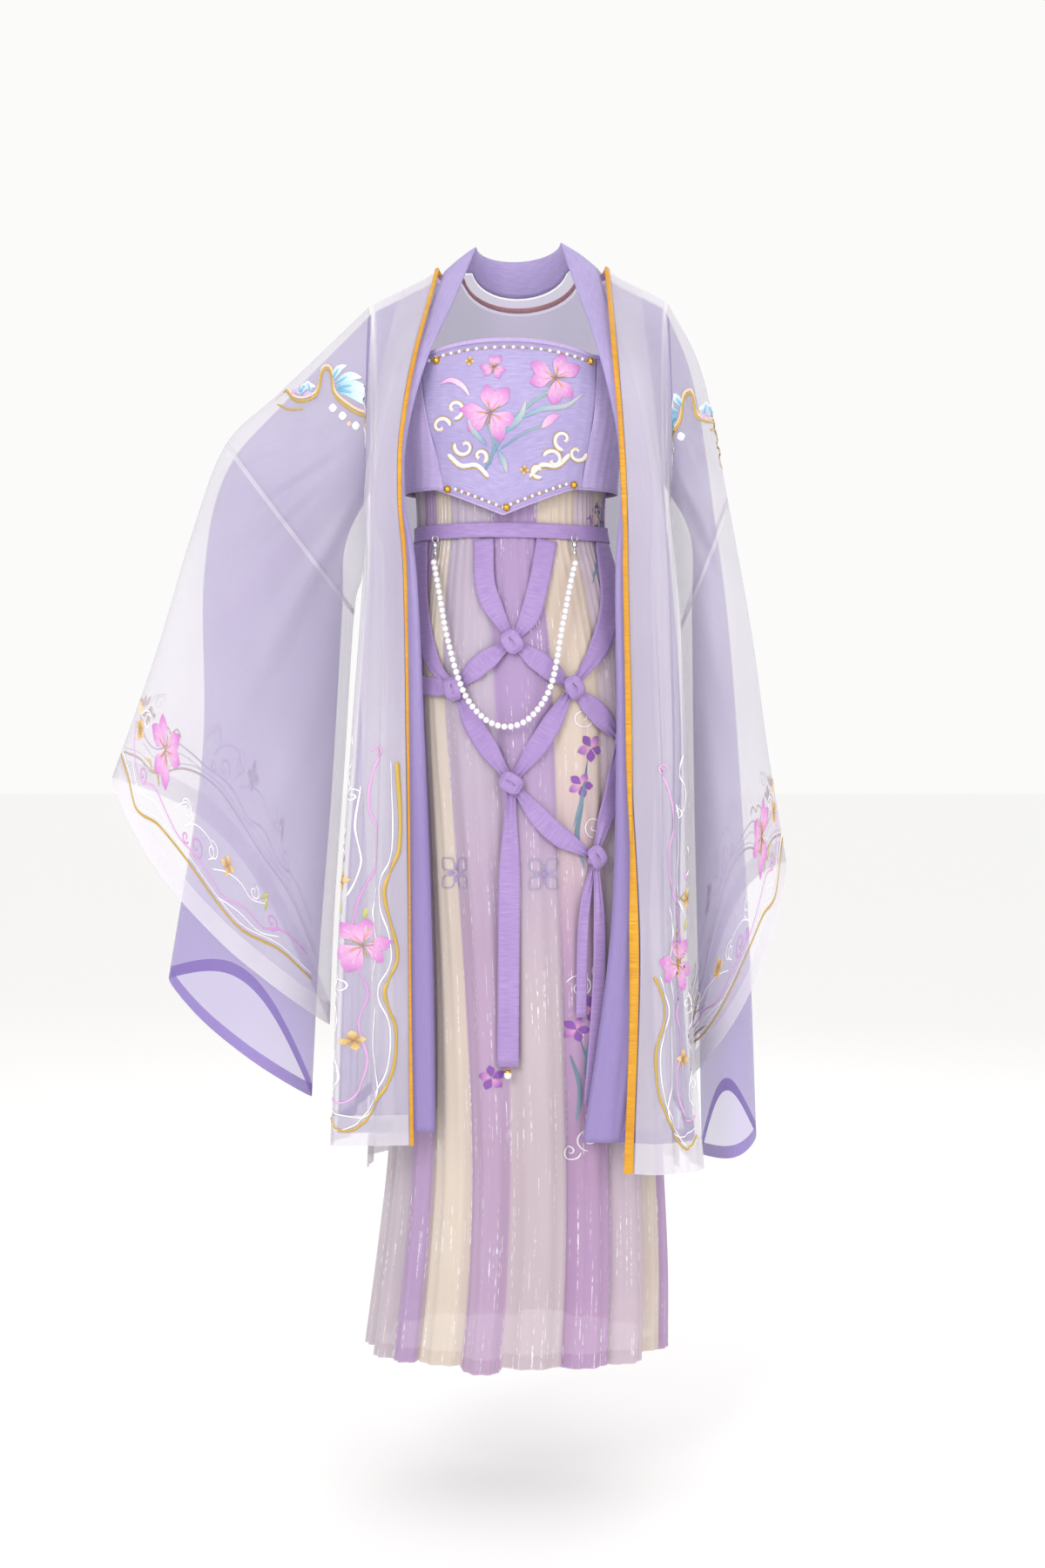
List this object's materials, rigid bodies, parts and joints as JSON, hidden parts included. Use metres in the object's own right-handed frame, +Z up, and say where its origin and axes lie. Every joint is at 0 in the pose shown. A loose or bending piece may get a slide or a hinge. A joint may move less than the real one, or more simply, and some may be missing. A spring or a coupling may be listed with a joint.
{
  "type": "hanfu robe set",
  "caption": "Hanfu set filled out as worn: two sheer large-sleeved robes, a chest-high pleated skirt, an embroidered bodice, and a ribbon belt with a knotted net and pearls.",
  "frame": {"origin": "the middle of the neck opening at the height of the shoulders, where the wearer holds the robes up", "axes": "+Z up along the wearer's body, the front faces -Y, +X to the wearer's left; the set hangs with its sleeves a little open"},
  "size_m": [0.8216, 0.329, 1.358],
  "materials": {
    "organza": "sheer white organza, faint sheen",
    "chiffon": "sheer periwinkle chiffon, soft",
    "collar_band": "periwinkle chiffon doubled, soft",
    "gold_piping": "golden satin piping, shiny",
    "satin": "lilac satin, embroidered",
    "satin_side": "orchid satin, plain",
    "binding": "lilac satin binding",
    "skirt_lilac": "pleated lilac georgette with silver threads",
    "skirt_cream": "pleated cream georgette with silver threads",
    "ribbon": "lavender ribbon, matt",
    "pearl": "pearl white, lustrous",
    "silver": "polished silver-coloured metal"
  },
  "bodies": {
    "root": {"outer_back": "organza", "outer_front_right": "organza", "outer_sleeve_upper_right": "organza", "outer_sleeve_lower_right": "organza", "outer_cuff_right": "organza", "outer_front_left": "organza", "outer_sleeve_upper_left": "organza", "outer_sleeve_lower_left": "organza", "outer_cuff_left": "organza", "inner_back": "chiffon", "inner_front_right": "chiffon", "inner_sleeve_right": "chiffon", "inner_front_left": "chiffon", "inner_sleeve_left": "chiffon", "inner_collar_right": "collar_band", "inner_collar_left": "collar_band", "outer_piping_right": "gold_piping", "outer_piping_left": "gold_piping", "skirt_gore_1": "skirt_lilac", "skirt_gore_2": "skirt_cream", "skirt_gore_3": "skirt_lilac", "skirt_gore_4": "skirt_cream", "skirt_gore_5": "skirt_lilac", "skirt_gore_6": "skirt_cream", "skirt_gore_7": "skirt_lilac", "skirt_gore_8": "skirt_cream", "skirt_gore_9": "skirt_lilac", "skirt_waistband": "skirt_lilac", "bodice_front": "satin", "bodice_side_right": "satin_side", "bodice_side_left": "satin_side", "bodice_back": "satin_side", "bodice_binding": "binding", "belt": "ribbon", "net_centre_right": "ribbon", "net_centre_left": "ribbon", "net_side_right": "ribbon", "net_side_left": "ribbon", "net_knot_1_2": "ribbon", "net_knot_1_3": "ribbon", "net_hip_right": "ribbon", "net_knot_2_4": "ribbon", "net_knot_3_4": "ribbon", "net_knot_3_5": "ribbon", "net_knot_4_6": "ribbon", "net_knot_5_6": "ribbon", "net_tail_middle": "ribbon", "net_tail_rear": "ribbon", "net_tail_front": "ribbon", "net_knot_1": "ribbon", "net_knot_2": "ribbon", "net_knot_3": "ribbon", "net_knot_4": "ribbon", "net_knot_5": "ribbon", "net_knot_6": "ribbon", "pearl_strand": "pearl", "clasp_right": "silver", "clasp_left": "silver", "pearl_drop": "pearl"}
  },
  "joints": []
}
